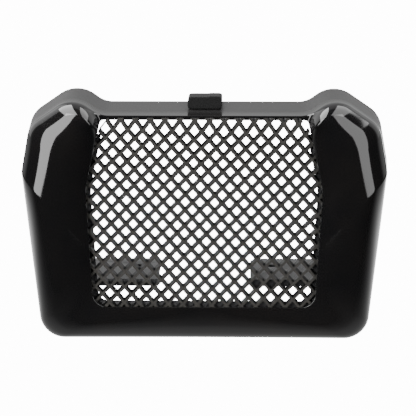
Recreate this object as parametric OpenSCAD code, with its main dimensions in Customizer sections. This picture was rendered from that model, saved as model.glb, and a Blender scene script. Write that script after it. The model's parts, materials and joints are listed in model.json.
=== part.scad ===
// Oil cooler cover: a gloss moulded shell with two raised shoulders, an expanded metal screen in
// its front opening, an inner frame with two mounting shelves behind it, and a rubber edge clip.
// Front faces -Y, +X is to the right seen from the front, +Z is up, and the shell stands on Z = 0.

/* [Shell outline] */
// Half width of the shell at its bottom corners
foot_half_w = 92; // [88:0.2:98]
// Half width at the kinks in its sides, where it is widest
kink_half_w = 102.8; // [99:0.2:108]
// Height of the kinks
kink_z = 95.5; // [84:0.5:102]
// Half width where the flanks turn in to the shoulders
flank_half_w = 98.2; // [93:0.2:99]
// Height of that turn
flank_z = 121.5; // [114:0.5:126]
// Distance from the middle to the top of each shoulder
peak_x = 73.5; // [69:0.2:78]
// Height of the shoulders before rounding
peak_z = 138.5; // [133:0.2:144]
// Distance from the middle to the inner foot of each shoulder
valley_x = 58.5; // [55:0.2:62]
// Height of the top wall between the shoulders
top_z = 127.6; // [122:0.2:131]
// Corner radius at the bottom of the sides
foot_r = 14; // [6:0.5:18]
// Radius of the kinks
kink_r = 8; // [4:0.5:20]
// Radius where the flanks turn in
flank_r = 14; // [6:0.5:18]
// Radius over the shoulders
peak_r = 15; // [8:0.5:18]
// Radius at the inner feet of the shoulders
valley_r = 16; // [6:0.5:20]

/* [Shell section] */
// Wall thickness
wall = 2.2; // [1.6:0.1:3]
// How far the walls spread from front to rear, so that the moulding leaves its tool
draft = 2; // [0.6:0.1:4]
// Depth of the pillars at their crest, from the rear rim
pillar_d = 55; // [52:0.5:60]
// Width of the rounded band along the bottom edge
sill_round = 8.5; // [5:0.5:11]
// Width of the rounded band down the pillars
pillar_round = 23; // [14:0.5:27]

/* [Front opening] */
// Half width of the opening at the bottom
open_foot_half_w = 62.3; // [58:0.1:65]
// Half width of the opening at its widest
open_half_w = 66.4; // [63:0.1:69]
// Half width of the opening at the top
open_top_half_w = 57.9; // [54:0.1:60]
// Height of the lower edge
open_bottom_z = 19; // [15:0.5:26]
// Height of the widest place
open_wide_z = 86; // [70:0.5:100]
// Corner radius at the bottom of the opening
open_r = 8.5; // [4:0.5:12]

/* [Screen] */
// Depth of the rear face of the screen, from the rear rim
screen_d = 44; // [40:0.5:46]
// Thickness of the expanded sheet over its strands
screen_t = 2.2; // [1.8:0.1:3]
// Short way of a diamond, across
diamond_w = 8.26; // [7:0.02:12]
// Long way of a diamond, up
diamond_h = 8.92; // [7.5:0.02:13]
// Thickness of a strand, square to its run
strand_w = 0.95; // [0.7:0.05:1.6]
// Slope of the strands' upper faces, rising to the rear
strand_slope = 34; // [15:1:40]
// How far the lattice leans from upright
lattice_lean = 1.5; // [0:0.1:4]
// Distance across to a crossing of the strands below the top row
cross_x = -5.5; // [-9:0.1:9]
// Height of that crossing
cross_z = 114.6; // [110:0.1:118]
// How much taller the top row of diamonds is
top_stretch = 1.31; // [1:0.01:1.5]
// How far the screen reaches behind the edge of the opening
screen_lap = 3.5; // [2:0.1:5]

/* [Inner frame] */
// Thickness of the frame plate
frame_t = 2; // [1.5:0.1:3]
// How far the frame shows inside the shell's opening
ledge = 2.6; // [1.5:0.1:4]
// Width of the frame rails behind the pillars and the sill
rail_w = 12; // [9:0.5:14]
// Height of the top of the shelves
shelf_z = 34.4; // [28:0.2:45]
// Height of the lip along the front of each shelf
shelf_lip_h = 4; // [3:0.1:6]
// How far the shelves reach out behind the rear rim
shelf_reach = 12; // [4:0.5:20]
// Distance from the middle to the inner end of a shelf
shelf_inner_x = 26; // [20:0.5:34]
// Distance between the two mounting holes
hole_spacing = 77; // [66:0.5:90]
// Diameter of the mounting holes
hole_dia = 6.4; // [4.5:0.1:8]
// Distance of the mounting holes from the rear rim
hole_d = 8; // [6:0.5:30]

/* [Screws] */
// Thread diameter of the self-tapping screws
screw_dia = 3; // [2.5:0.1:3.5]
// Diameter of their heads
screw_head = 5.6; // [5:0.1:6.5]
// Height of their heads
screw_head_h = 2; // [1.4:0.1:2.6]
// Outer diameter of the bosses on the shell
boss_dia = 7; // [6.4:0.1:9]

/* [Edge clip] */
// Width of the rubber clip
clip_w = 19.4; // [14:0.2:26]
// How far its upper pad reaches forward over the top wall
clip_reach = 25; // [16:0.5:30]
// Thickness of the pad at its front
clip_pad = 7.2; // [4:0.1:8]
// Thickness of the pad at the rear rim
clip_pad_rear = 4.2; // [2:0.1:6]
// Length of the lower leg inside the wall
clip_leg_l = 14; // [8:0.5:20]
// Thickness of the lower leg and of the rear web
clip_leg = 2.2; // [1.6:0.1:3]

/* [Hidden] */
touch = 0.1;
arc_steps = 7;
straight_steps = 5;
total_d = pillar_d + shelf_reach;
y_rear = pillar_d - total_d / 2;
open_d = screen_d + screen_t + touch + wall;
lip_d = screen_d - touch;
top_round = 1.3;
top_rise = 0.9;
sill_rise = 8;
pillar_rise = 15;

// A unit vector, and a point between two others
function unit(v) = v / norm(v);
function mix(a, b, u) = a + (b - a) * u;
function smooth(u) = u * u * (3 - 2 * u);
function clamp(u) = max(0, min(1, u));

// The arc that rounds corner b of the way a-b-c, by radius r, in n points
function arc(a, b, c, r, n) =
    let (
        to_a = unit(a - b),
        to_c = unit(c - b),
        half = acos(to_a * to_c) / 2,
        centre = b + unit(to_a + to_c) * r / sin(half),
        start = b + to_a * r / tan(half) - centre,
        side = sign(to_a[0] * to_c[1] - to_a[1] * to_c[0])
    )
    [for (k = [0 : n - 1])
        let (turn = -side * (180 - 2 * half) * k / (n - 1))
        centre + [
            start[0] * cos(turn) - start[1] * sin(turn),
            start[0] * sin(turn) + start[1] * cos(turn)
        ]];

// An open way of [x, z, radius] corners, rounded, from its first end to its last
function rounded(way, n) =
    let (p = [for (c = way) [c[0], c[1]]], last = len(way) - 1)
    [
        p[0],
        for (i = [1 : last - 1]) each arc(p[i - 1], p[i], p[i + 1], way[i][2], n),
        p[last]
    ];

// The same way with its straight stretches cut into m parts
function divided(points, n, m) =
    [
        for (i = [0 : len(points) - 2])
            each (i % n == 0)
                ? [for (k = [0 : m - 1]) mix(points[i], points[i + 1], k / m)]
                : [points[i]],
        points[len(points) - 1]
    ];

// Distance along a way at each of its points
function lengths(points, i = 0, sum = 0) =
    i == len(points) - 1
        ? [sum]
        : concat([sum], lengths(points, i + 1, sum + norm(points[i + 1] - points[i])));

// Distance along a rounded way at the middle of each corner
function corner_marks(points, n) =
    let (s = lengths(points), count = (len(points) - 2) / n)
    [for (c = [0 : count - 1]) (s[1 + c * n] + s[n + c * n]) / 2];

// Half outlines from the middle of the bottom to the middle of the top
body_way = [
    [0, 0, 0],
    [foot_half_w, 0, foot_r],
    [kink_half_w, kink_z, kink_r],
    [flank_half_w, flank_z, flank_r],
    [peak_x, peak_z, peak_r],
    [valley_x, top_z, valley_r],
    [0, top_z, 0]
];
open_top_z = top_z - wall - 0.2;
open_way = [
    [0, open_bottom_z, 0],
    [open_foot_half_w, open_bottom_z, open_r],
    [open_half_w, open_wide_z, 40],
    [open_top_half_w, open_top_z, 2.5],
    [0, open_top_z, 0]
];
body_rough = rounded(body_way, arc_steps);
body_points = divided(body_rough, arc_steps, straight_steps);
body_s = lengths(body_points);
body_marks = corner_marks(body_rough, arc_steps);
body_end = body_s[len(body_s) - 1];
open_points = divided(rounded(open_way, arc_steps), arc_steps, straight_steps);
open_s = lengths(open_points);
open_marks = corner_marks(rounded(open_way, arc_steps), arc_steps);
open_end = open_s[len(open_s) - 1];
open_x = [for (i = [0 : len(open_s) - 1]) [open_s[i], open_points[i][0]]];
open_z = [for (i = [0 : len(open_s) - 1]) [open_s[i], open_points[i][1]]];

// How stations on the body match those on the opening, and the section at each mark
side_run = open_marks[2] - open_marks[0];
open_match = [
    [0, 0],
    [body_marks[0], open_marks[0]],
    [body_marks[1], open_marks[0] + side_run * 0.30],
    [body_marks[2], open_marks[0] + side_run * 0.78],
    [body_marks[3], open_marks[0] + side_run * 0.94],
    [body_marks[4], open_marks[2]],
    [body_end, open_end]
];
marks = [0, body_marks[0], body_marks[1], body_marks[2], body_marks[3], body_marks[4], body_end];
round_at = [sill_round, sill_round + 2, pillar_round, pillar_round - 2, 13, top_round, top_round];
rise_at = [sill_rise, sill_rise + 2, pillar_rise, pillar_rise, 13, top_rise, top_rise];
crest_at = [open_d, open_d + 2, pillar_d, pillar_d, pillar_d - 1, lip_d, lip_d];
edge_at = [open_d, open_d, open_d, open_d, open_d, lip_d, lip_d];

function between(s, i = 0) = (i >= len(marks) - 2 || s < marks[i + 1]) ? i : between(s, i + 1);
function at(values, s) =
    let (i = between(s), u = clamp((s - marks[i]) / (marks[i + 1] - marks[i])))
    mix(values[i], values[i + 1], smooth(u));

// Outward direction of the body outline at station i
function outward(i) =
    let (
        last = len(body_points) - 1,
        run = unit(body_points[min(i + 1, last)] - body_points[max(i - 1, 0)])
    )
    (i == 0) ? [0, -1] : (i == last) ? [0, 1] : [run[1], -run[0]];

// One section of the shell: [distance in from the outline, depth] from the rear rim round the front
arc_angles = [0, 14, 28, 42, 56, 72, 90];
face_steps = [0.2, 0.4, 0.6, 0.8, 1];
function outer_section(s, across) =
    let (
        band = min(at(round_at, s), across - 1),
        rise = at(rise_at, s),
        crest = at(crest_at, s),
        edge = at(edge_at, s),
        brink = across - 0.4
    )
    concat(
        [for (a = arc_angles) [band * (1 - cos(a)), crest - rise * (1 - sin(a))]],
        [for (u = face_steps) [mix(band, brink, u), mix(crest, edge, u * u)]],
        [[across, edge - 0.4]]
    );
function inner_section(s, across) =
    let (
        band = min(at(round_at, s), across - 1),
        rise = at(rise_at, s),
        crest = at(crest_at, s),
        edge = at(edge_at, s),
        thin = clamp((5 - rise) / 3.5),
        steps = len(arc_angles) + len(face_steps),
        full = concat(
            [for (a = arc_angles)
                let (n = unit([rise * cos(a), band * sin(a)]))
                [band * (1 - cos(a)) + wall * n[0], crest - rise * (1 - sin(a)) - wall * n[1]]],
            [for (u = face_steps) [mix(band, across, u), mix(crest, edge, u * u) - wall]]
        )
    )
    [for (k = [0 : steps - 1])
        let (
            back = (steps - 1 - k) * 0.9,
            flat = [mix(wall - draft * back / edge, across, pow(k / (steps - 1), 4)), edge - wall - back]
        )
        mix(full[k], flat, thin)];

// The closed section at station i as points of the solid, mirrored for the left half
function placed(at_outline, inwards, section, side) =
    [for (q = section)
        let (p = at_outline + inwards * q[0])
        [side * p[0], y_rear - q[1], p[1]]];
function station(i, side) =
    let (
        s = body_s[i],
        b = body_points[i],
        m = lookup(s, open_match),
        o = [lookup(m, open_x), lookup(m, open_z)],
        across = norm(o - b),
        inwards = (o - b) / across,
        out = outward(i),
        flare = [out[0], max(out[1], 0)] * draft,
        outer = outer_section(s, across),
        inner = inner_section(s, across),
        rim = b + flare,
        rim_in = rim - out * wall,
        inner_last = len(inner) - 1
    )
    concat(
        [[side * rim[0], y_rear, rim[1]]],
        placed(b, inwards, outer, side),
        placed(b, inwards, [for (k = [inner_last : -1 : 0]) inner[k]], side),
        [[side * rim_in[0], y_rear, rim_in[1]]]
    );

last_station = len(body_points) - 1;
stations = concat(
    [for (i = [0 : last_station]) station(i, 1)],
    [for (i = [last_station - 1 : -1 : 1]) station(i, -1)]
);
ring = len(stations[0]);

module shell_skin()
    polyhedron(
        points = [for (st = stations) each st],
        faces = [
            for (i = [0 : len(stations) - 1], k = [0 : ring - 1])
                let (
                    j = (i + 1) % len(stations),
                    l = (k + 1) % ring,
                    a = i * ring + k,
                    b = i * ring + l,
                    c = j * ring + l,
                    d = j * ring + k
                )
                each [[a, b, c], [a, c, d]]
        ],
        convexity = 10
    );

// A solid of a drawing in [x, z], from depth d of length l towards the front
module front_prism(d, l)
    translate([0, y_rear - d, 0]) rotate([90, 0, 0]) linear_extrude(l) children();

// Where the frame is screwed to the shell: along the crest of each pillar
boss_z = [44, 100];
function station_at(z, i = 12) = body_points[i][1] >= z ? i : station_at(z, i + 1);
bosses = [for (z = boss_z)
    let (
        i = station_at(z),
        s = body_s[i],
        b = body_points[i],
        m = lookup(s, open_match),
        o = [lookup(m, open_x), lookup(m, open_z)],
        p = b + unit(o - b) * at(round_at, s)
    )
    [p[0], p[1], at(crest_at, s)]];

module at_bosses()
    for (side = [-1, 1], p = bosses) translate([side * p[0], y_rear, p[1]]) rotate([90, 0, 0]) children();

module shell()
    color([0.02, 0.02, 0.02]) difference() {
        union() {
            shell_skin();
            for (side = [-1, 1], p = bosses)
                translate([side * p[0], y_rear - screen_d, p[1]]) rotate([90, 0, 0])
                    cylinder(d = boss_dia, h = p[2] - wall * 0.6 - screen_d, $fn = 32);
        }
        for (side = [-1, 1], p = bosses)
            translate([side * p[0], y_rear - screen_d + 1, p[1]]) rotate([90, 0, 0])
                cylinder(d = screw_dia + 2 * touch, h = screw_bite + 1.5, $fn = 24);
    }

// Expanded metal: one sheet, slit and drawn, whose strands lean back as they rise
pitch = [diamond_w, diamond_h];
rows = 15;
columns = 10;
opening_in = 1 - strand_w / (2 * diamond_w / 2 * diamond_h / 2 / norm(pitch / 2));
module diamond(stretch = 1)
    polygon([for (q = [[1, 0], [0, 1], [-1, 0], [0, -1]])
        [q[0] * diamond_w / 2 * opening_in, q[1] * diamond_h / 2 * opening_in * stretch]]);

// Rows count down from the crossing, each half a diamond lower and half a diamond across. Those
// above it are the stretched ones that the top edge cuts through
function row_z(r) = -r * diamond_h / 2 * (r < 0 ? top_stretch : 1);
module diamonds()
    translate([cross_x, cross_z]) rotate(-lattice_lean)
        for (r = [-2 : 2 * rows], c = [-columns : columns])
            translate([(c + (abs(r) % 2) / 2 + 0.5) * diamond_w, row_z(r)])
                diamond(r < 0 ? top_stretch : 1);

screen_top_z = top_z - 0.2 - screen_t / 2 * tan(strand_slope);
screen_way = [
    [0, open_bottom_z - screen_lap, 0],
    [open_foot_half_w + screen_lap, open_bottom_z - screen_lap, open_r],
    [open_half_w + screen_lap, open_wide_z, 40],
    [open_top_half_w + 0.4, open_top_z - 4, 2],
    [open_top_half_w - 5, screen_top_z, 2],
    [0, screen_top_z, 0]
];
function both_halves(points) =
    concat(points, [for (i = [len(points) - 2 : -1 : 1]) [-points[i][0], points[i][1]]]);

module screen_outline() polygon(both_halves(rounded(screen_way, 5)));

// The knuckles where pairs of strands meet at the top edge
knuckle_w = 2.2;
knuckle_h = 1.8;
knuckles = floor((open_top_half_w - screen_lap) / diamond_w) - 1;
module top_knuckles()
    front_prism(screen_d, screen_t) for (c = [-knuckles : knuckles])
        translate([cross_x + c * diamond_w + row_z(-2) * sin(lattice_lean), top_z - 0.2])
            polygon([
                [-knuckle_w / 2, -knuckle_h], [knuckle_w / 2, -knuckle_h],
                [knuckle_w / 4, 0], [-knuckle_w / 4, 0]
            ]);

module screen()
    color([0.12, 0.12, 0.12]) {
        intersection() {
            translate([-kink_half_w, y_rear - screen_d - screen_t, 0]) cube([2 * kink_half_w, screen_t, peak_z]);
            translate([0, y_rear - screen_d - screen_t / 2, 0]) rotate([90 + strand_slope, 0, 0])
                linear_extrude(2 * peak_z, center = true) scale([1, cos(strand_slope)]) difference() {
                    screen_outline();
                    diamonds();
                }
        }
        top_knuckles();
    }

// The frame behind the screen, with the shelves that the cooler's mounts are bolted to
frame_way = [
    [0, open_bottom_z + ledge, 0],
    [open_foot_half_w - ledge, open_bottom_z + ledge, open_r - ledge],
    [open_half_w - ledge, open_wide_z, 40],
    [open_top_half_w - 0.4, open_top_z - 8, 0]
];
rail_way = [
    [0, open_bottom_z + ledge - rail_w, 0],
    [open_foot_half_w - ledge + rail_w, open_bottom_z + ledge - rail_w, open_r],
    [open_half_w - ledge + rail_w, open_wide_z, 40],
    [open_top_half_w - ledge + rail_w, open_top_z - 8, 0]
];
function mirrored(points) = [for (i = [len(points) - 1 : -1 : 1]) [-points[i][0], points[i][1]]];
frame_in = rounded(frame_way, 7);
frame_out = rounded(rail_way, 7);

module frame_outline()
    polygon(concat(
        mirrored(frame_out), frame_out,
        [for (i = [len(frame_in) - 1 : -1 : 0]) frame_in[i]],
        [for (i = [1 : len(frame_in) - 1]) [-frame_in[i][0], frame_in[i][1]]]
    ));

shelf_outer_x = open_half_w + 17;
shelf_corner = 8;
shelf_lip = 2;
shelf_plate = 2.4;
shelf_l = screen_d + shelf_reach;

// The right shelf: a flat plate with one rounded corner, a mounting hole and a lip turned down
module shelf()
    translate([0, y_rear - screen_d, shelf_z]) difference() {
        union() {
            translate([shelf_inner_x, 0, -shelf_plate])
                cube([shelf_outer_x - shelf_inner_x, shelf_l - shelf_corner, shelf_plate]);
            translate([shelf_inner_x + shelf_corner, 0, -shelf_plate])
                cube([shelf_outer_x - shelf_inner_x - shelf_corner, shelf_l, shelf_plate]);
            translate([shelf_inner_x + shelf_corner, shelf_l - shelf_corner, -shelf_plate])
                cylinder(r = shelf_corner, h = shelf_plate, $fn = 48);
            translate([shelf_inner_x, 0, -shelf_lip_h])
                cube([shelf_outer_x - shelf_inner_x, shelf_lip, shelf_lip_h]);
        }
        translate([hole_spacing / 2, screen_d - hole_d, -shelf_plate - 1])
            cylinder(d = hole_dia, h = shelf_plate + 2, $fn = 48);
    }

module inner_frame()
    color([0.05, 0.05, 0.05]) difference() {
        union() {
            front_prism(screen_d - frame_t, frame_t) frame_outline();
            for (side = [-1, 1], p = bosses) {
                translate([side * p[0], y_rear - screen_d + frame_t, p[1]]) rotate([90, 0, 0])
                    cylinder(d = boss_dia + 3, h = frame_t, $fn = 48);
                translate([side * (p[0] - 6) - 6, y_rear - screen_d, p[1] - boss_dia / 2 - 1.5])
                    cube([12, frame_t, boss_dia + 3]);
            }
            shelf();
            mirror([1, 0, 0]) shelf();
        }
        at_bosses() cylinder(d = screw_dia + 4 * touch, h = pillar_d, $fn = 32);
    }

screw_bite = 6;
module screw() {
    translate([0, 0, screen_d - frame_t]) cylinder(d = screw_dia, h = frame_t + screw_bite, $fn = 24);
    translate([0, 0, screen_d - frame_t - screw_head_h]) difference() {
        cylinder(d = screw_head, h = screw_head_h, $fn = 32);
        for (turn = [0, 90]) rotate(turn) translate([-1.5, -0.4, -0.5]) cube([3, 0.8, 1.6]);
    }
}

module frame_screws() color([0.6, 0.6, 0.62]) at_bosses() screw();

// The rubber clip over the rear rim, square to the sloping top wall
wall_slope = atan(draft / (lip_d - top_rise));
clip_r = 1.6;
clip_top = clip_pad;
clip_bottom = -wall - 2 * touch - clip_leg;
module clip_front() {
    h = clip_top - clip_bottom;
    translate([0, (clip_top + clip_bottom) / 2]) {
        for (x = [-1, 1], z = [-1, 1])
            translate([x * (clip_w / 2 - clip_r), z * (h / 2 - clip_r)]) circle(clip_r, $fn = 24);
        square([clip_w - 2 * clip_r, h], center = true);
        square([clip_w, h - 2 * clip_r], center = true);
    }
}
module clip_side()
    polygon([
        [clip_reach, 0], [clip_reach, clip_pad], [-clip_leg - touch, clip_pad_rear],
        [-clip_leg - touch, clip_bottom], [clip_leg_l, clip_bottom], [clip_leg_l, -wall - 2 * touch],
        [-touch, -wall - 2 * touch], [-touch, 0]
    ]);

module edge_clip()
    color([0.08, 0.08, 0.08]) translate([0, y_rear, top_z + draft]) rotate([wall_slope, 0, 0])
        translate([0, 0, touch]) intersection() {
            translate([0, clip_leg * 2, 0]) rotate([90, 0, 0]) linear_extrude(clip_reach + 4 * clip_leg) clip_front();
            rotate([90, 0, -90]) linear_extrude(clip_w + 2, center = true) clip_side();
        }

shell();
screen();
inner_frame();
frame_screws();
edge_clip();
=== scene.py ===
import json
import math

import bmesh
import bpy
import numpy as np
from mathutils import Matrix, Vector
from mathutils.bvhtree import BVHTree

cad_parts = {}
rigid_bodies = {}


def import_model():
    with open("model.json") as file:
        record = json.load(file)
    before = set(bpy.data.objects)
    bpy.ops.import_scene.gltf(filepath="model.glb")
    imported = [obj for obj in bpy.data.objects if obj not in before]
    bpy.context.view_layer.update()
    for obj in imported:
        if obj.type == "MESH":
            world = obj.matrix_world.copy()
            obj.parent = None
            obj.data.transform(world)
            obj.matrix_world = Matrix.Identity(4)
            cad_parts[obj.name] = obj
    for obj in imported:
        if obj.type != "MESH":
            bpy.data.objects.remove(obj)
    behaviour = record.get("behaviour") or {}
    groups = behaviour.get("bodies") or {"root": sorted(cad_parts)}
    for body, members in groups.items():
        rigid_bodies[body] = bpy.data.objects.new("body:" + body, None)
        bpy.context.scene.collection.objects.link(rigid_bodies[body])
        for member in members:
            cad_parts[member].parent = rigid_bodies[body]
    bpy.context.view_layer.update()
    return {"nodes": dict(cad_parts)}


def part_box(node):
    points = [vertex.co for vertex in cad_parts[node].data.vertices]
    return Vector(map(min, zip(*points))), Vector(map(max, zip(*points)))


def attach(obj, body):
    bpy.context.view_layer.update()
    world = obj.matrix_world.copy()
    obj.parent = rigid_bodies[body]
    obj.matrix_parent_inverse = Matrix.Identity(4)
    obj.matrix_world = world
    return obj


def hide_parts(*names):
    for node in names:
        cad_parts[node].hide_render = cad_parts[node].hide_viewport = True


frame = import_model()
mm = 0.001
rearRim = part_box("shell")[1].y  # the shell's open rear edge, where every depth is measured from
print("frame loaded, rear rim at y =", round(rearRim, 4))


# helpers
def newObject(name, mesh):
    made = bpy.data.objects.new(name, mesh)
    bpy.context.collection.objects.link(made)
    return made


def applyModifiers(piece):
    shown = piece.evaluated_get(bpy.context.evaluated_depsgraph_get())
    baked = bpy.data.meshes.new_from_object(shown)
    piece.modifiers.clear()
    piece.data = baked
    return piece


def smoothStep(u):
    return u * u * (3 - 2 * u)


def aimed(azimuth, elevation, distance):
    # the way from the part out to a camera or a light
    a, e = math.radians(azimuth), math.radians(elevation)
    return Vector((math.sin(a) * math.cos(e), -math.cos(a) * math.cos(e), math.sin(e))) * distance


# camera

cameraSetup = {
    "azimuth": 1.0,         # degrees to the right of straight on
    "elevation": 11.0,      # degrees above level
    "distance": 1.3,
    "lens": 197.8,
    "aimX": 1.9 * mm,       # the object sits a little left of the picture's middle
    "aimDepth": 27.5 * mm,  # in front of the rear rim
    "aimZ": 72.2 * mm,
    "clip": (0.05, 20),
}


def makeCamera(setup):
    back = aimed(setup["azimuth"], setup["elevation"], 1)
    aim = Vector((setup["aimX"], rearRim - setup["aimDepth"], setup["aimZ"]))
    data = bpy.data.cameras.new("camera")
    data.lens = setup["lens"]
    data.clip_start, data.clip_end = setup["clip"]
    camera = bpy.data.objects.new("camera", data)
    bpy.context.collection.objects.link(camera)
    camera.location = aim + back * setup["distance"]
    camera.rotation_euler = (-back).to_track_quat("-Z", "Y").to_euler()
    bpy.context.scene.camera = camera


makeCamera(cameraSetup)
print("camera ready")


# materials

def material(name):
    made = bpy.data.materials.new(name)
    made.use_nodes = True
    tree = made.node_tree
    shader = tree.nodes["Principled BSDF"]
    place = tree.nodes.new("ShaderNodeTexCoord")
    return made, tree, shader, place.outputs["Object"]


def axes(tree, vector):
    made = tree.nodes.new("ShaderNodeSeparateXYZ")
    tree.links.new(vector, made.inputs["Vector"])
    return made.outputs


def calculate(tree, operation, a, b=0.0):
    made = tree.nodes.new("ShaderNodeMath")
    made.operation = operation
    for socket, given in zip(made.inputs, (a, b)):
        if isinstance(given, bpy.types.NodeSocket):
            tree.links.new(given, socket)
        else:
            socket.default_value = given
    return made.outputs[0]


def noise(tree, place, scale, detail=3.0, roughness=0.5, stretch=(1, 1, 1)):
    mapping = tree.nodes.new("ShaderNodeMapping")
    mapping.inputs["Scale"].default_value = stretch
    texture = tree.nodes.new("ShaderNodeTexNoise")
    texture.inputs["Scale"].default_value = scale
    texture.inputs["Detail"].default_value = detail
    texture.inputs["Roughness"].default_value = roughness
    tree.links.new(place, mapping.inputs["Vector"])
    tree.links.new(mapping.outputs["Vector"], texture.inputs["Vector"])
    return texture.outputs["Fac"]


def ramp(tree, value, stops):
    made = tree.nodes.new("ShaderNodeValToRGB")
    elements = made.color_ramp.elements
    while len(elements) < len(stops):
        elements.new(0.5)
    for element, (at, color) in zip(elements, stops):
        element.position = at
        element.color = (*color, 1)
    tree.links.new(value, made.inputs["Fac"])
    return made.outputs["Color"]


def between(tree, value, low, high, start=0.0, end=1.0, easing="LINEAR"):
    made = tree.nodes.new("ShaderNodeMapRange")
    made.interpolation_type = easing
    made.inputs["From Min"].default_value = start
    made.inputs["From Max"].default_value = end
    made.inputs["To Min"].default_value = low
    made.inputs["To Max"].default_value = high
    tree.links.new(value, made.inputs["Value"])
    return made.outputs["Result"]


def bump(tree, shader, height, strength, distance):
    made = tree.nodes.new("ShaderNodeBump")
    made.inputs["Strength"].default_value = strength
    made.inputs["Distance"].default_value = distance
    tree.links.new(height, made.inputs["Height"])
    tree.links.new(made.outputs["Normal"], shader.inputs["Normal"])


# noise is [scale, detail, roughness], tints is the two colours that it runs between,
# rough is the two roughnesses, and bump is [strength, height in metres]
coats = {
    "gloss": {
        "noise": (38, 4, 0.55), "tints": [(0.3, (0.0035, 0.0035, 0.0038)), (0.75, (0.0055, 0.0050, 0.0048))],
        "rough": (0.045, 0.085), "ripple": (55, 2, 0.4), "bump": (0.06, 0.0004),
        "wallRough": 0.3, "wallDepths": (44, 30),   # added to the walls behind the front face
    },
    "strand": {
        "noise": (900, 3, 0.6), "tints": [(0.3, (0.024, 0.023, 0.021)), (0.75, (0.040, 0.038, 0.035))],
        "rough": (0.26, 0.38), "grain": (1500, 2), "bump": (0.12, 0.0001),
        # the near-black colour below is painted shade on the slanted faces, and the tints above paint the
        # forward face greyer
        "paintedShadeFlank": (0.003, 0.003, 0.003, 1), "turn": (-0.97, -0.85),   # normals between the front and the flanks
    },
    "frame": {
        "noise": (900, 3, 0.6), "tints": [(0.3, (0.010, 0.010, 0.011)), (0.75, (0.020, 0.020, 0.021))],
        "rough": (0.36, 0.50), "grain": (1500, 2), "bump": (0.15, 0.0001),
    },
    "rubber": {
        "noise": (1200, 4, 0.6), "tints": [(0.3, (0.003, 0.003, 0.003)), (0.8, (0.007, 0.007, 0.007))],
        "rough": (0.65, 0.85), "shine": 0.2, "bump": (0.35, 0.00015),
    },
    "zinc": {
        "noise": (600, 3, 0.5, (1, 0.15, 1)), "tints": [(0.3, (0.42, 0.42, 0.44)), (0.8, (0.62, 0.62, 0.6))],
        "rough": (0.25, 0.42),
    },
}


def glossBlackPlastic(coat):
    made, tree, shader, place = material("glossBlackPlastic")
    haze = noise(tree, place, *coat["noise"])
    tree.links.new(ramp(tree, haze, coat["tints"]), shader.inputs["Base Color"])
    deep, shallow = [rearRim - depth * mm for depth in coat["wallDepths"]]
    wall = between(tree, axes(tree, place)["Y"], 0.0, coat["wallRough"], deep, shallow)
    sheen = calculate(tree, "ADD", between(tree, haze, *coat["rough"]), wall)
    tree.links.new(sheen, shader.inputs["Roughness"])
    bump(tree, shader, noise(tree, place, *coat["ripple"]), *coat["bump"])   # the waviness of a moulded skin
    return made


def satinBlackCoat(coat):
    made, tree, shader, place = material("frameCoat")
    speckle = noise(tree, place, *coat["noise"])
    tree.links.new(ramp(tree, speckle, coat["tints"]), shader.inputs["Base Color"])
    tree.links.new(between(tree, speckle, *coat["rough"]), shader.inputs["Roughness"])
    bump(tree, shader, noise(tree, place, *coat["grain"]), *coat["bump"])
    return made


def strandCoat(coat):
    # satin black, with painted light and shade by face: the face that looks forward is painted greyer, and the
    # slanted faces are painted near-black shade
    made, tree, shader, place = material("strandCoat")
    speckle = noise(tree, place, *coat["noise"])
    facing = tree.nodes.new("ShaderNodeTexCoord").outputs["Normal"]
    lightAndShadeBlend = tree.nodes.new("ShaderNodeMix")
    lightAndShadeBlend.data_type = "RGBA"
    paintedShadeFlank, front = [i for i in lightAndShadeBlend.inputs if i.type == "RGBA"]
    paintedShadeFlank.default_value = coat["paintedShadeFlank"]
    tree.links.new(ramp(tree, speckle, coat["tints"]), front)
    tree.links.new(between(tree, axes(tree, facing)["Y"], 1.0, 0.0, *coat["turn"]), lightAndShadeBlend.inputs["Factor"])
    tree.links.new([o for o in lightAndShadeBlend.outputs if o.type == "RGBA"][0], shader.inputs["Base Color"])
    tree.links.new(between(tree, speckle, *coat["rough"]), shader.inputs["Roughness"])
    bump(tree, shader, noise(tree, place, *coat["grain"]), *coat["bump"])
    return made


def matteRubber(coat):
    made, tree, shader, place = material("matteRubber")
    grain = noise(tree, place, *coat["noise"])
    tree.links.new(ramp(tree, grain, coat["tints"]), shader.inputs["Base Color"])
    tree.links.new(between(tree, grain, *coat["rough"]), shader.inputs["Roughness"])
    shader.inputs["Specular IOR Level"].default_value = coat["shine"]
    bump(tree, shader, grain, *coat["bump"])
    return made


def zincSteel(coat):
    made, tree, shader, place = material("zincSteel")
    streak = noise(tree, place, *coat["noise"])
    tree.links.new(ramp(tree, streak, coat["tints"]), shader.inputs["Base Color"])
    tree.links.new(between(tree, streak, *coat["rough"]), shader.inputs["Roughness"])
    shader.inputs["Metallic"].default_value = 1.0
    return made


shellFinish = glossBlackPlastic(coats["gloss"])
screenFinish = strandCoat(coats["strand"])
frameFinish = satinBlackCoat(coats["frame"])
clipFinish = matteRubber(coats["rubber"])
screwFinish = zincSteel(coats["zinc"])
print("finishes ready")


# shell

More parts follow.
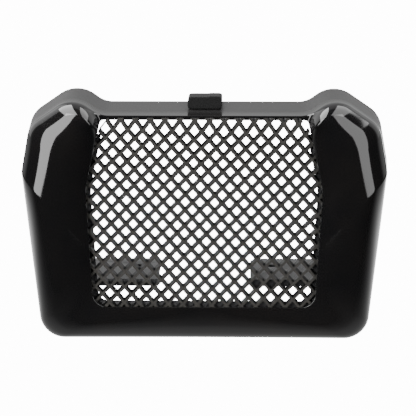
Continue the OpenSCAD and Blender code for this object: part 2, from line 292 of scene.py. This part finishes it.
shell = {
    "footHalfWidth": 92, "kinkHalfWidth": 102.8, "kinkZ": 95.5, "flankHalfWidth": 98.2, "flankZ": 121.5,
    "peakX": 73.5, "peakZ": 138.5, "valleyX": 58.5, "topZ": 127.6,
    "footRadius": 14, "kinkRadius": 8, "flankRadius": 14, "peakRadius": 15, "valleyRadius": 16,
    "wall": 2.2, "draft": 2, "pillarDepth": 55, "sillRound": 8.5, "pillarRound": 23,
    "openFootHalfWidth": 62.3, "openHalfWidth": 66.4, "openTopHalfWidth": 57.9,
    "openBottomZ": 19, "openWideZ": 86, "openTopGap": 0.2,
    "openRadius": 8.5, "openSideRadius": 40, "openTopRadius": 2.5,
    "sideShares": (0.30, 0.78, 0.94),   # how far up the opening's side the kink, flank and peak are matched
    "screenDepth": 44, "screenThickness": 2.2, "touch": 0.1,
    "topRound": 1.3, "topRise": 0.9, "sillRise": 8, "pillarRise": 15, "peakRound": 13,
    "footExtra": 2, "flankLess": 2, "peakLess": 1,   # the foot's band gains this, the others lose it
    "thinFrom": 5, "thinRun": 3.5, "topStraight": 9.9, "topTurn": 4,   # the inside of the thin top wall
    "arcSteps": 22, "straightSteps": 16, "bandSteps": 22, "faceSteps": 14,
    "edgeRadius": 0.45, "edgeSteps": 4, "edgeShare": 0.9,
    "wallSteps": (0.05, 0.3, 0.6, 0.9), "innerSteps": (0.1, 0.4, 0.7, 0.95),
}
openEdgeDepth = shell["screenDepth"] + shell["screenThickness"] + shell["touch"] + shell["wall"]
lipDepth = shell["screenDepth"] - shell["touch"]
openTopZ = shell["topZ"] - shell["wall"] - shell["openTopGap"]


def cornerArc(before, corner, after, radius, steps):
    toBefore = (before - corner) / np.linalg.norm(before - corner)
    toAfter = (after - corner) / np.linalg.norm(after - corner)
    half = math.acos(np.clip(toBefore @ toAfter, -1, 1)) / 2
    middle = toBefore + toAfter
    centre = corner + middle / np.linalg.norm(middle) * radius / math.sin(half)
    start = corner + toBefore * radius / math.tan(half) - centre
    side = np.sign(toBefore[0] * toAfter[1] - toBefore[1] * toAfter[0])
    points = []
    for k in range(steps):
        turn = -side * (math.pi - 2 * half) * k / (steps - 1)
        c, s = math.cos(turn), math.sin(turn)
        points.append(centre + np.array([start[0] * c - start[1] * s, start[0] * s + start[1] * c]))
    return points


def roundedWay(corners, steps, straights):
    # points along a way of [x, z, radius] corners, with the distance at the middle of each corner
    p = [np.array(c[:2], float) for c in corners]
    runs = [[p[0]]]
    for i in range(1, len(p) - 1):
        runs.append(cornerArc(p[i - 1], p[i], p[i + 1], corners[i][2], steps))
    runs.append([p[-1]])
    points, middles = [], []
    for run, following in zip(runs, runs[1:] + [None]):
        if len(run) > 1:
            middles.append(len(points) + (len(run) - 1) / 2)
        points += run
        if following is not None:
            points += [run[-1] + (following[0] - run[-1]) * k / straights for k in range(1, straights)]
    points = np.array(points)
    distance = np.concatenate([[0], np.cumsum(np.linalg.norm(np.diff(points, axis=0), axis=1))])
    marks = [np.interp(m, range(len(points)), distance) for m in middles]
    return points, distance, marks


bodyPoints, bodyDistance, bodyMarks = roundedWay([
    (0, 0, 0),
    (shell["footHalfWidth"], 0, shell["footRadius"]),
    (shell["kinkHalfWidth"], shell["kinkZ"], shell["kinkRadius"]),
    (shell["flankHalfWidth"], shell["flankZ"], shell["flankRadius"]),
    (shell["peakX"], shell["peakZ"], shell["peakRadius"]),
    (shell["valleyX"], shell["topZ"], shell["valleyRadius"]),
    (0, shell["topZ"], 0),
], shell["arcSteps"], shell["straightSteps"])
openPoints, openDistance, openMarks = roundedWay([
    (0, shell["openBottomZ"], 0),
    (shell["openFootHalfWidth"], shell["openBottomZ"], shell["openRadius"]),
    (shell["openHalfWidth"], shell["openWideZ"], shell["openSideRadius"]),
    (shell["openTopHalfWidth"], openTopZ, shell["openTopRadius"]),
    (0, openTopZ, 0),
], shell["arcSteps"], shell["straightSteps"])

sideRun = openMarks[2] - openMarks[0]
matchBody = [0, *bodyMarks[:5], bodyDistance[-1]]
matchOpen = [0, openMarks[0], *[openMarks[0] + sideRun * share for share in shell["sideShares"]],
             openMarks[2], openDistance[-1]]
extra = shell["footExtra"]
# the band's width, its depth and its crest at each match, from the middle of the sill to the middle of the top
bandAt = [
    (shell["sillRound"], shell["sillRise"], openEdgeDepth),
    (shell["sillRound"] + extra, shell["sillRise"] + extra, openEdgeDepth + extra),
    (shell["pillarRound"], shell["pillarRise"], shell["pillarDepth"]),
    (shell["pillarRound"] - shell["flankLess"], shell["pillarRise"], shell["pillarDepth"]),
    (shell["peakRound"], shell["peakRound"], shell["pillarDepth"] - shell["peakLess"]),
    (shell["topRound"], shell["topRise"], lipDepth),
    (shell["topRound"], shell["topRise"], lipDepth),
]
roundAt, riseAt, crestAt = zip(*bandAt)
edgeAt = [openEdgeDepth] * 5 + [lipDepth] * 2


def sectionValue(values, distance):
    i = min(max(np.searchsorted(matchBody, distance, side="right") - 1, 0), len(matchBody) - 2)
    u = np.clip((distance - matchBody[i]) / (matchBody[i + 1] - matchBody[i]), 0, 1)
    return values[i] + (values[i + 1] - values[i]) * smoothStep(u)


def shellSection(distance, across):
    # outer and inner face as [distance in from the outline, depth], rear to opening
    band = min(sectionValue(roundAt, distance), across - 1)
    rise = sectionValue(riseAt, distance)
    crest = sectionValue(crestAt, distance)
    edge = sectionValue(edgeAt, distance)
    wall = shell["wall"]
    turns = np.linspace(0, math.pi / 2, shell["bandSteps"] + 1)
    reach = np.linspace(0, 1, shell["faceSteps"] + 1)[1:]
    bandIn, bandDepth = band * (1 - np.cos(turns)), crest - rise * (1 - np.sin(turns))
    outer = np.concatenate([
        np.column_stack([bandIn, bandDepth]),
        np.column_stack([band + (across - band) * reach, crest + (edge - crest) * reach ** 2]),
    ])
    normalIn, normalDepth = rise * np.cos(turns), band * np.sin(turns)
    size = np.hypot(normalIn, normalDepth)
    inner = np.concatenate([
        np.column_stack([bandIn + wall * normalIn / size, bandDepth - wall * normalDepth / size]),
        np.column_stack([band + (across - band) * reach, crest + (edge - crest) * reach ** 2 - wall]),
    ])
    # the top wall has no room for a band, so its inside runs straight
    thin = np.clip((shell["thinFrom"] - rise) / shell["thinRun"], 0, 1)
    steps = len(inner) - 1
    k = np.arange(steps + 1)
    back = (steps - k) * shell["topStraight"] / steps
    inside = wall - shell["draft"] * back / edge
    flat = np.column_stack([inside + (across - inside) * (k / steps) ** shell["topTurn"], edge - wall - back])
    return outer, inner + (flat - inner) * thin


def roundEdge(before, corner, after):
    # a small curve in place of a sharp corner
    reach = shell["edgeRadius"] * shell["edgeShare"]
    a = corner + (before - corner) * min(1, reach / max(np.linalg.norm(before - corner), 1e-6))
    b = corner + (after - corner) * min(1, reach / max(np.linalg.norm(after - corner), 1e-6))
    u = np.linspace(0, 1, shell["edgeSteps"] + 1)[:, None]
    return (1 - u) ** 2 * a + 2 * u * (1 - u) * corner + u ** 2 * b


def shellRing(i, side):
    last = len(bodyPoints) - 1
    at, distance = bodyPoints[i], bodyDistance[i]
    matched = np.interp(distance, matchBody, matchOpen)
    target = np.array([np.interp(matched, openDistance, openPoints[:, k]) for k in (0, 1)])
    across = np.linalg.norm(target - at)
    inwards = (target - at) / across
    run = bodyPoints[min(i + 1, last)] - bodyPoints[max(i - 1, 0)]
    run = run / np.linalg.norm(run)
    out = np.array([0, -1]) if i == 0 else np.array([0, 1]) if i == last else np.array([run[1], -run[0]])
    flare = np.array([out[0], max(out[1], 0)]) * shell["draft"]
    outer, inner = shellSection(distance, across)

    def placed(section):
        flat = at + inwards * section[:, :1]
        return np.column_stack([flat[:, 0], -section[:, 1], flat[:, 1]])

    def rim(p):
        return np.array([p[0], 0, p[1]])

    front, back = placed(outer), placed(inner)
    rimOut, rimIn = rim(at + flare), rim(at + flare - out * shell["wall"])
    wallOut = [rimOut + (front[0] - rimOut) * t for t in shell["wallSteps"]]
    wallIn = [back[0] + (rimIn - back[0]) * t for t in shell["innerSteps"]]
    ring = [
        *roundEdge(rimIn, rimOut, front[0]), *wallOut, *front[:-1],
        *roundEdge(front[-2], front[-1], back[-1]), *roundEdge(front[-1], back[-1], back[-2]),
        *back[-2::-1], *wallIn, *roundEdge(back[0], rimIn, rimOut),
    ]
    ring = np.array(ring) * mm
    ring[:, 0] *= side
    ring[:, 1] += rearRim
    return ring


def gridMesh(name, rings):
    # a closed tube of rings, the last joined to the first
    count, size = len(rings), len(rings[0])
    faces = []
    for i in range(count):
        here, there = i * size, (i + 1) % count * size
        for k in range(size):
            following = (k + 1) % size
            faces.append((here + k, there + k, there + following, here + following))
    mesh = bpy.data.meshes.new(name)
    mesh.from_pydata(np.concatenate(rings).tolist(), [], faces)
    mesh.polygons.foreach_set("use_smooth", [True] * len(faces))
    return mesh


def lathe(body, profile, centre, steps):
    # a closed turned solid about Y, its profile [radius, y] starting and ending on the axis
    rings = []
    for radius, y in profile:
        turns = [2 * math.pi * k / steps for k in range(steps if radius > 0 else 1)]
        spots = [(centre[0] + radius * math.cos(t), y, centre[1] + radius * math.sin(t)) for t in turns]
        rings.append([body.verts.new(spot) for spot in spots])
    for a, b in zip(rings, rings[1:]):
        for k in range(steps):
            corners = [a[k % len(a)], a[(k + 1) % len(a)], b[(k + 1) % len(b)], b[k % len(b)]]
            face = body.faces.new(list(dict.fromkeys(corners)))
            face.smooth = True


def screwCentres():
    # [x, z] of each frame screw, the middle of its box in the CAD
    points = np.array([v.co[:] for v in frame["nodes"]["frame_screws"].data.vertices])
    x, z = points[:, 0], points[:, 2]
    upper = z > z.mean()
    centres = []
    for chosen in (~upper & (x < 0), upper & (x < 0), ~upper & (x > 0), upper & (x > 0)):
        screw = points[chosen]
        centres.append((screw.min(axis=0) + screw.max(axis=0))[[0, 2]] / 2)
    return centres


boss = {
    "outer": 7, "hole": 3.2, "depth": 6.5, "chamfer": 0.3, "steps": 40,
    "probeY": -1, "probes": 8,   # where the search for the front face starts, and its rays
    "sink": 0.4,                 # how far into the wall a boss ends, as a share of it
}


def addBosses(body):
    seat = rearRim - shell["screenDepth"] * mm
    outer, hole, depth = boss["outer"] / 2 * mm, boss["hole"] / 2 * mm, boss["depth"] * mm
    chamfer = boss["chamfer"] * mm
    skin = BVHTree.FromBMesh(body)
    for centre in screwCentres():
        # each boss ends inside the front face, found from in front of it
        faces = []
        for k in range(boss["probes"]):
            turn = 2 * math.pi * k / boss["probes"]
            x, z = centre[0] + outer * math.cos(turn), centre[1] + outer * math.sin(turn)
            faces.append(skin.ray_cast((x, boss["probeY"], z), (0, 1, 0))[0].y)
        end = max(faces) + boss["sink"] * shell["wall"] * mm
        lathe(body, [
            (0, seat - depth - hole / 2), (hole, seat - depth), (hole, seat - chamfer), (hole + chamfer, seat),
            (outer - chamfer, seat), (outer, seat - chamfer), (outer, end), (0, end),
        ], centre, boss["steps"])


def makeShell():
    last = len(bodyPoints) - 1
    rings = [shellRing(i, 1) for i in range(last + 1)] + [shellRing(i, -1) for i in range(last - 1, 0, -1)]
    mesh = gridMesh("shellSkin", rings)
    body = bmesh.new()
    body.from_mesh(mesh)
    addBosses(body)
    bmesh.ops.recalc_face_normals(body, faces=body.faces)
    body.to_mesh(mesh)
    body.free()
    piece = newObject("shellSkin", mesh)
    piece.data.materials.append(shellFinish)
    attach(piece, "root")
    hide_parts("shell")
    return piece


shellSkin = makeShell()
print("shell made:", len(shellSkin.data.polygons), "faces")


# screen

screen = {
    "pitchAcross": 8.26, "pitchUp": 8.92, "strand": 1.42, "slope": 34,
    "thickness": shell["screenThickness"], "depth": shell["screenDepth"],
    "columns": 22, "rows": 15,                     # columns are even, so that a crossing is in the middle
    "crossX": -5.5, "crossZ": 114.6, "lean": 1.5,  # where that crossing is
    "topStretch": 1.34,
    "lap": 6.2, "topLap": 0.4, "topGap": 0.2, "cornerRadius": 2, "arcSteps": 8, "straightSteps": 2,
    "bevel": 0.24, "bevelSteps": 2, "bevelAngle": 30, "weld": 0.02, "trimMargin": 1,
}


class Graph:
    # a Geometry Nodes tree that is built step by step
    def __init__(self, name):
        self.tree = bpy.data.node_groups.new(name, "GeometryNodeTree")
        self.tree.is_modifier = True
        self.tree.interface.new_socket("Geometry", in_out="INPUT", socket_type="NodeSocketGeometry")
        self.tree.interface.new_socket("Geometry", in_out="OUTPUT", socket_type="NodeSocketGeometry")
        self.entry = self.tree.nodes.new("NodeGroupInput")
        self.exit = self.tree.nodes.new("NodeGroupOutput")
        self.ids = {}

    def value(self, name, kind="NodeSocketFloat"):
        socket = self.tree.interface.new_socket(name, in_out="INPUT", socket_type=kind)
        self.ids[name] = socket.identifier
        return self.entry.outputs[name]

    def add(self, kind, inputs=None, **settings):
        node = self.tree.nodes.new(kind)
        for key, setting in settings.items():
            setattr(node, key, setting)
        for key, given in (inputs or {}).items():
            if isinstance(given, bpy.types.NodeSocket):
                self.tree.links.new(given, node.inputs[key])
            else:
                node.inputs[key].default_value = given
        return node

    def math(self, operation, a, b=0.0):
        return self.add("ShaderNodeMath", {0: a, 1: b}, operation=operation).outputs[0]

    def run(self, piece, result, values):
        self.tree.links.new(result, self.exit.inputs["Geometry"])
        modifier = piece.modifiers.new(self.tree.name, "NODES")
        modifier.node_group = self.tree
        for name, given in values.items():
            modifier[self.ids[name]] = given


def screenOutline(setup):
    # the sheet's edge, seen from the front, as [x, z] in millimetres
    lap, corner, halfRadius = setup["lap"], setup["cornerRadius"], shell["openRadius"] / 2
    leaned = setup["thickness"] / 2 * math.tan(math.radians(setup["slope"]))
    low, top = shell["openBottomZ"] - lap, shell["topZ"] - setup["topGap"] - leaned
    half, _, _ = roundedWay([
        (0, low, 0),
        (shell["openFootHalfWidth"] + lap, low, shell["openRadius"]),
        (shell["openHalfWidth"] + lap, shell["openWideZ"], shell["openSideRadius"]),
        (shell["openTopHalfWidth"] + setup["topLap"], openTopZ - halfRadius, corner),
        (shell["openTopHalfWidth"] - halfRadius, top, corner),
        (0, top, 0),
    ], setup["arcSteps"], setup["straightSteps"])
    return np.concatenate([half, half[-2:0:-1] * (-1, 1)])


def latticeGraph(finish):
    # flat lattice of welded cells in X and Y, its crossing at the middle of the top row
    g = Graph("expandedLattice")
    across, up = g.value("Pitch Across"), g.value("Pitch Up")
    columns, rows = g.value("Columns", "NodeSocketInt"), g.value("Rows", "NodeSocketInt")
    hole, stretch, lean, weld = g.value("Hole Share"), g.value("Top Stretch"), g.value("Lean"), g.value("Weld")
    cell = g.add("GeometryNodeMeshCircle", {"Vertices": 4, "Radius": 0.5}, fill_type="NGON").outputs["Mesh"]
    size = g.add("ShaderNodeCombineXYZ", {"X": across, "Y": up, "Z": 1.0}).outputs[0]
    cell = g.add("GeometryNodeTransform", {"Geometry": cell, "Scale": size}).outputs[0]
    rim = g.add("GeometryNodeExtrudeMesh", {"Mesh": cell, "Offset Scale": 0.0}, mode="FACES")
    whole, middle = rim.outputs["Mesh"], rim.outputs["Top"]
    cut = g.add("GeometryNodeScaleElements", {"Geometry": whole, "Selection": middle, "Scale": hole})
    opened = {"Geometry": cut.outputs[0], "Selection": middle}
    ring = g.add("GeometryNodeDeleteGeometry", opened, domain="FACE").outputs[0]
    wide = g.math("MULTIPLY", across, g.math("SUBTRACT", columns, 1.0))
    tall = g.math("MULTIPLY", up, g.math("SUBTRACT", rows, 1.0))
    extent = {"Size X": wide, "Size Y": tall, "Vertices X": columns, "Vertices Y": rows}
    grid = g.add("GeometryNodeMeshGrid", extent).outputs["Mesh"]
    hang = g.math("SUBTRACT", up, g.math("MULTIPLY", tall, 0.5))
    down = g.add("ShaderNodeCombineXYZ", {"Y": hang}).outputs[0]
    spots = g.add("GeometryNodeTransform", {"Geometry": grid, "Translation": down}).outputs[0]
    shift = {"X": g.math("MULTIPLY", across, 0.5), "Y": g.math("MULTIPLY", up, 0.5)}
    half = g.add("ShaderNodeCombineXYZ", shift).outputs[0]
    offset = g.add("GeometryNodeTransform", {"Geometry": spots, "Translation": half}).outputs[0]
    both = g.add("GeometryNodeJoinGeometry")
    for points in (spots, offset):
        g.tree.links.new(points, both.inputs[0])
    copies = g.add("GeometryNodeInstanceOnPoints", {"Points": both.outputs[0], "Instance": ring}).outputs[0]
    real = g.add("GeometryNodeRealizeInstances", {"Geometry": copies}).outputs[0]
    # the upper row is drawn out, then the whole lattice leans
    place = g.add("ShaderNodeSeparateXYZ", {0: g.add("GeometryNodeInputPosition").outputs[0]}).outputs
    above = g.math("SUBTRACT", place["Y"], g.math("MULTIPLY", up, 0.5))
    drawn = g.math("MULTIPLY", g.math("MAXIMUM", above, 0.0), g.math("SUBTRACT", stretch, 1.0))
    lift = g.add("ShaderNodeCombineXYZ", {"Y": drawn}).outputs[0]
    lifted = g.add("GeometryNodeSetPosition", {"Geometry": real, "Offset": lift}).outputs[0]
    turn = g.add("ShaderNodeCombineXYZ", {"Z": lean}).outputs[0]
    leaned = g.add("GeometryNodeTransform", {"Geometry": lifted, "Rotation": turn}).outputs[0]
    welded = g.add("GeometryNodeMergeByDistance", {"Geometry": leaned, "Distance": weld}).outputs[0]
    done = g.add("GeometryNodeSetMaterial", {"Geometry": welded, "Material": finish}).outputs[0]
    return g, done


def thicken(flat, name, low, high, rise):
    # a flat mesh in X and Y becomes an upright sheet from depth low to high, whose cuts rise to the rear
    sheet = bmesh.new()
    sheet.from_mesh(flat)
    for v in sheet.verts:
        v.co = (v.co.x, low, v.co.y - rise / 2)
    extruded = bmesh.ops.extrude_face_region(sheet, geom=sheet.faces[:], use_keep_orig=True)
    moved = [v for v in extruded["geom"] if isinstance(v, bmesh.types.BMVert)]
    bmesh.ops.translate(sheet, vec=(0, high - low, rise), verts=moved)
    bmesh.ops.recalc_face_normals(sheet, faces=sheet.faces)
    mesh = bpy.data.meshes.new(name)
    sheet.to_mesh(mesh)
    sheet.free()
    return mesh


def makeScreen(setup):
    across, up = setup["pitchAcross"], setup["pitchUp"]
    front = rearRim - (setup["depth"] + setup["thickness"]) * mm
    rear = rearRim - setup["depth"] * mm
    lattice = newObject("latticeFlat", bpy.data.meshes.new("latticeFlat"))
    graph, result = latticeGraph(screenFinish)
    graph.run(lattice, result, {
        "Pitch Across": across * mm, "Pitch Up": up * mm, "Columns": setup["columns"], "Rows": setup["rows"],
        "Hole Share": 1 - setup["strand"] * math.hypot(across, up) / (across * up),
        "Top Stretch": setup["topStretch"], "Lean": -math.radians(setup["lean"]), "Weld": setup["weld"] * mm,
    })
    flat = applyModifiers(lattice).data
    for v in flat.vertices:
        v.co += Vector((setup["crossX"] * mm, setup["crossZ"] * mm, 0))
    rise = math.tan(math.radians(setup["slope"])) * setup["thickness"] * mm
    edge = bpy.data.meshes.new("sheetEdge")
    outline = screenOutline(setup) * mm
    edge.from_pydata([(x, z, 0) for x, z in outline], [], [range(len(outline))])
    margin = setup["trimMargin"] * mm
    trim = newObject("sheetTrim", thicken(edge, "sheetTrim", front - margin, rear + margin, 0))
    piece = newObject("screenMesh", thicken(flat, "screenMesh", front, rear, rise))
    cut = piece.modifiers.new("trim", "BOOLEAN")
    cut.operation, cut.solver, cut.object = "INTERSECT", "MANIFOLD", trim
    soften = piece.modifiers.new("soften", "BEVEL")
    soften.width, soften.segments, soften.limit_method = setup["bevel"] * mm, setup["bevelSteps"], "ANGLE"
    soften.angle_limit, soften.harden_normals = math.radians(setup["bevelAngle"]), True
    piece.data.polygons.foreach_set("use_smooth", [True] * len(piece.data.polygons))
    applyModifiers(piece)
    for spare in (lattice, trim):
        bpy.data.objects.remove(spare)
    piece.data.materials.clear()
    piece.data.materials.append(screenFinish)
    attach(piece, "root")
    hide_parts("screen")
    return piece


screenMesh = makeScreen(screen)
print("screen made:", len(screenMesh.data.polygons), "faces")


# frame, screws and clip

softened = {
    "inner_frame": {"name": "frameSheet", "slot": "frame_metal", "edge": 0.3, "steps": 2, "angle": 35},
    "frame_screws": {"name": "frameScrews", "slot": "screw_steel", "edge": 0.22, "steps": 3, "angle": 35},
    "edge_clip": {"name": "rimClip", "slot": "clip_rubber", "voxel": 0.3, "steps": 6},   # steps of smoothing
}
clipShape = {
    "corner": 2.2, "cuts": 7,          # radius of the corners, and the cuts that round each
    "middleZ": 132, "reach": 3.6,      # the height they close on, and how far above and below it they are full
    "stepX": 2.2, "stepWidth": 0.3, "stepHeight": 0.35,
}


def softCopy(node, finish, shape=None):
    setup = softened[node]
    mesh = frame["nodes"][node].data.copy()
    mesh.name = setup["name"]
    body = bmesh.new()
    body.from_mesh(mesh)
    bmesh.ops.remove_doubles(body, verts=body.verts, dist=0.001 * mm)
    bmesh.ops.dissolve_limit(body, angle_limit=math.radians(1), verts=body.verts, edges=body.edges)
    if shape:
        shape(body)
    body.to_mesh(mesh)
    body.free()
    piece = newObject(setup["name"], mesh)
    if "voxel" in setup:
        # moulded rubber, round at every edge
        remesh = piece.modifiers.new("remesh", "REMESH")
        remesh.mode, remesh.voxel_size, remesh.use_smooth_shade = "VOXEL", setup["voxel"] * mm, True
        piece.modifiers.new("soften", "SMOOTH").iterations = setup["steps"]
    else:
        soften = piece.modifiers.new("soften", "BEVEL")
        soften.width, soften.segments, soften.limit_method = setup["edge"] * mm, setup["steps"], "ANGLE"
        soften.angle_limit, soften.harden_normals = math.radians(setup["angle"]), True
    mesh.polygons.foreach_set("use_smooth", [True] * len(mesh.polygons))
    applyModifiers(piece)
    piece.data.materials.clear()
    piece.data.materials.append(finish)
    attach(piece, "root")
    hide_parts(node)
    return piece


def shapeClip(body):
    # round the corners seen from the front, and mould the step in the top
    setup = clipShape
    half = max(v.co.x for v in body.verts)
    corner = setup["corner"] * mm
    cuts = [half - corner + corner * math.sin(math.pi / 2 * k / setup["cuts"]) for k in range(setup["cuts"])]
    cuts += [-x for x in cuts] + [setup["stepX"] * mm, (setup["stepX"] + setup["stepWidth"]) * mm]
    for x in cuts:
        whole = body.verts[:] + body.edges[:] + body.faces[:]
        bmesh.ops.bisect_plane(body, geom=whole, dist=1e-7, plane_co=(x, 0, 0), plane_no=(1, 0, 0))
    for v in body.verts:
        level = max(-1, min(1, (v.co.z / mm - setup["middleZ"]) / setup["reach"]))
        past = min(corner, max(0, abs(v.co.x) - half + corner))
        drop = corner - math.sqrt(corner ** 2 - past ** 2)
        raised = setup["stepHeight"] * mm if v.co.x > (setup["stepX"] + setup["stepWidth"] / 2) * mm else 0
        v.co.z += raised * max(0, level) - drop * level


frameSheet = softCopy("inner_frame", frameFinish)
frameScrews = softCopy("frame_screws", screwFinish)
rimClip = softCopy("edge_clip", clipFinish, shapeClip)
print("frame, screws and clip made")


# floor and light

studio = {
    "floorSeen": 14.0, "floorHalf": 4, "floorZ": -0.2 * mm,
    # the paper's glow is painted light, and its fall towards the front is painted shadow under and in front of
    # the part
    "paperPaintedLight": 3.2, "paperHalf": 1, "paperBack": 2,
    "paperFront": (-0.1, 0.1), "paperSide": (0.24, 0.42),   # y and |x| over which the paper fades
    "roomFront": 0.05, "roomBack": 0.62, "roomFade": (0.08, 0.42),
    "aimZ": 0.08,
    "leftGlow": 10.5, "rightGlow": 4.6,   # brightness of the two banks of softboxes
    "sideAzimuth": 41, "sideElevation": 22, "sideDistance": 1.0, "sideSize": (0.52, 1.03),
    "roofInner": 0.2, "roofY": -0.03, "roofHeight": 1.0, "roofSize": (0.75, 1.4),
    "rimAzimuth": 128, "rimElevation": 27, "rimShare": 0.1, "rimDistance": 1.2, "rimSize": (0.9, 0.9),
}


def plane(name, low, high, z=0.0):
    mesh = bpy.data.meshes.new(name)
    corners = [(low[0], low[1], z), (high[0], low[1], z), (high[0], high[1], z), (low[0], high[1], z)]
    mesh.from_pydata(corners, [], [(0, 1, 2, 3)])
    return newObject(name, mesh)


def paleFloor(name, glow):
    made, tree, shader, place = material(name)
    shader.inputs["Base Color"].default_value = (0.01, 0.01, 0.01, 1)
    shader.inputs["Roughness"].default_value = 0.9
    shader.inputs["Specular IOR Level"].default_value = 0.1
    shader.inputs["Emission Color"].default_value = (1, 1, 1, 1)
    shader.inputs["Emission Strength"].default_value = glow
    return made, tree, shader, place


def paperFloor(setup):
    # the sheet of paper under the part, as its gloss sees it: its glow is painted light in place of the lit
    # floor, its fall towards the front is painted shadow under and in front of the part, and it fades out to
    # the sides
    made, tree, shader, place = paleFloor("floorPaperPaintedLight", 0)
    spot = axes(tree, place)
    paintedGlowAndShadow = between(tree, spot["Y"], 0, setup["paperPaintedLight"], *setup["paperFront"], "SMOOTHSTEP")
    across = between(tree, calculate(tree, "ABSOLUTE", spot["X"]), 1, 0, *setup["paperSide"], "SMOOTHSTEP")
    tree.links.new(calculate(tree, "MULTIPLY", paintedGlowAndShadow, across), shader.inputs["Emission Strength"])
    return made


def softbox(name, at, aim, size, glow):
    data = bpy.data.lights.new(name, "AREA")
    data.shape = "RECTANGLE"
    data.size, data.size_y = size
    data.energy = glow * math.pi * size[0] * size[1]
    light = bpy.data.objects.new(name, data)
    bpy.context.collection.objects.link(light)
    light.location = at
    light.rotation_euler = (aim - at).to_track_quat("-Z", "Y").to_euler()


def makeWorld(setup):
    world = bpy.data.worlds.new("studio")
    world.use_nodes = True
    tree = world.node_tree
    way = axes(tree, tree.nodes.new("ShaderNodeTexCoord").outputs["Generated"])
    glow = between(tree, way["Y"], setup["roomFront"], setup["roomBack"], *setup["roomFade"], "SMOOTHSTEP")
    tree.links.new(glow, tree.nodes["Background"].inputs["Strength"])
    tree.nodes["Background"].inputs["Color"].default_value = (1, 1, 1, 1)
    bpy.context.scene.world = world


def makeFloor(setup):
    # the white sweep of the photograph, and the paper that the gloss sees in its place
    half, aside = setup["floorHalf"], setup["paperHalf"]
    seen = plane("floorSeen", (-half, -half), (half, half), setup["floorZ"])
    seen.data.materials.append(paleFloor("floorWhite", setup["floorSeen"])[0])
    seen.visible_glossy = seen.visible_diffuse = seen.visible_shadow = False
    paper = plane("paper", (-aside, setup["paperFront"][0]), (aside, setup["paperBack"]))
    paper.data.materials.append(paperFloor(setup))
    paper.visible_camera = False


def makeLights(setup):
    middle = Vector((0, 0, setup["aimZ"]))
    width, depth = setup["roofSize"]
    for side, label, glow in ((-1, "left", setup["leftGlow"]), (1, "right", setup["rightGlow"])):
        front = aimed(side * setup["sideAzimuth"], setup["sideElevation"], setup["sideDistance"])
        softbox(label + "Side", middle + front, middle, setup["sideSize"], glow)
        over = Vector((side * (setup["roofInner"] + width / 2), setup["roofY"], setup["roofHeight"]))
        softbox(label + "Roof", over, over - Vector((0, 0, 1)), (width, depth), glow)
        rim = aimed(side * setup["rimAzimuth"], setup["rimElevation"], setup["rimDistance"])
        softbox(label + "Rim", middle + rim, middle, setup["rimSize"], glow * setup["rimShare"])


makeWorld(studio)
makeFloor(studio)
makeLights(studio)
print("studio ready")
